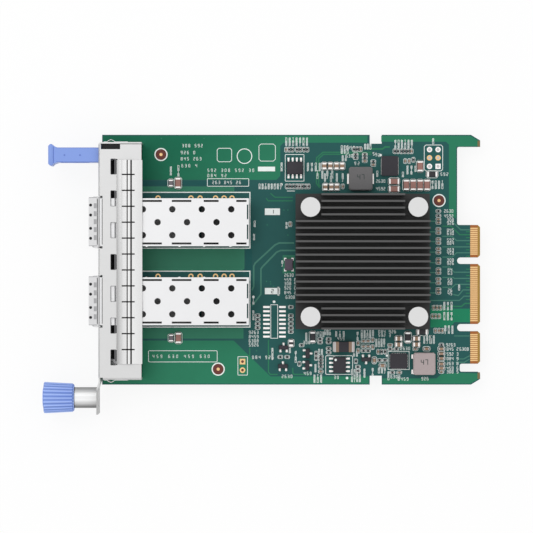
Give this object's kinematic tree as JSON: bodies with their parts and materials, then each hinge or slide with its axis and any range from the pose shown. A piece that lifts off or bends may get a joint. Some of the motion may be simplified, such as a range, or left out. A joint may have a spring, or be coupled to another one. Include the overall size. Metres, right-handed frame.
{
  "type": "mezzanine network card",
  "caption": "Plug-in network mezzanine card with pluggable-module cages, a folded faceplate, a finned heatsink and a captive thumbscrew.",
  "frame": {"origin": "front face of the faceplate, on the board's centreline and level with the board's underside", "axes": "+X from the faceplate towards the card edge, +Y across the board away from the thumbscrew, +Z out of the component side"},
  "size_m": [0.1327, 0.0847, 0.0168],
  "materials": {
    "board": "green solder mask over a glass-fibre board",
    "gold_contact": "gold-plated contact",
    "solder_and_tin": "tinned solder pad or plated terminal",
    "silkscreen": "thin white print",
    "bracket_sheet": "satin plated sheet",
    "spring_strip": "bright plated spring sheet",
    "cage_sheet": "bright nickel-plated sheet",
    "turned_steel": "turned and plated steel",
    "spring_wire": "drawn spring wire",
    "blue_moulding": "light blue moulded plastic",
    "connector_plastic": "black moulded plastic",
    "chip_package": "moulded epoxy with tinned leads",
    "gap_pad": "soft thermal pad",
    "anodised_fins": "black anodised extrusion",
    "white_nylon": "white moulded nylon",
    "ferrite_block": "pressed grey ferrite",
    "oscillator_can": "plated lid",
    "ceramic_part": "fired ceramic with plated ends"
  },
  "bodies": {
    "card": {"pcb": "board", "bracket": "bracket_sheet", "emi_gasket_top": "spring_strip", "emi_gasket_bottom": "spring_strip", "side_spring_1": "spring_strip", "side_spring_2": "spring_strip", "pull_tab": "blue_moulding", "thumbscrew_ferrule": "turned_steel", "bracket_screw_1": "turned_steel", "bracket_screw_2": "turned_steel", "bracket_nut_1": "turned_steel", "bracket_nut_2": "turned_steel", "cage_base_1": "cage_sheet", "cage_base_2": "cage_sheet", "cage_cover_1": "cage_sheet", "cage_cover_2": "cage_sheet", "cage_collar_1": "spring_strip", "cage_collar_2": "spring_strip", "host_connector_1": "connector_plastic", "host_connector_2": "connector_plastic", "controller_chip": "chip_package", "thermal_pad": "gap_pad", "heatsink": "anodised_fins", "push_pin_1": "white_nylon", "push_pin_2": "white_nylon", "push_pin_3": "white_nylon", "push_pin_4": "white_nylon", "push_pin_spring_1": "spring_wire", "push_pin_spring_2": "spring_wire", "push_pin_spring_3": "spring_wire", "push_pin_spring_4": "spring_wire", "inductor_1": "ferrite_block", "inductor_2": "ferrite_block", "regulator_1": "chip_package", "regulator_2": "chip_package", "oscillator": "oscillator_can", "fuse": "chip_package", "power_switch_1": "chip_package", "power_switch_2": "chip_package", "transistor_1": "chip_package", "transistor_2": "chip_package", "transistor_3": "chip_package", "transistor_4": "chip_package", "transistor_5": "chip_package", "capacitor_1": "ceramic_part", "capacitor_2": "ceramic_part", "capacitor_3": "ceramic_part", "capacitor_4": "ceramic_part", "capacitor_5": "ceramic_part", "capacitor_6": "ceramic_part", "capacitor_7": "ceramic_part", "resistor_1": "chip_package", "resistor_2": "chip_package", "resistor_3": "chip_package"},
    "thumbscrew_carriage": {"thumbscrew_spring": "spring_wire"},
    "thumbscrew": {"thumbscrew_knob": "blue_moulding", "thumbscrew_screw": "turned_steel"}
  },
  "joints": [
    {"name": "thumbscrew_travel", "type": "slide", "parent": "card", "child": "thumbscrew_carriage", "axis": [1, 0, 0], "range_m": [0, 0.0048], "stiffness_N_per_m": 150, "springref_m": -0.003, "deforming": ["thumbscrew_spring"]},
    {"name": "thumbscrew_spin", "type": "hinge", "parent": "thumbscrew_carriage", "child": "thumbscrew", "pos_m": [-0.0125, -0.04182, 0.0045], "axis": [1, 0, 0], "continuous": true}
  ]
}
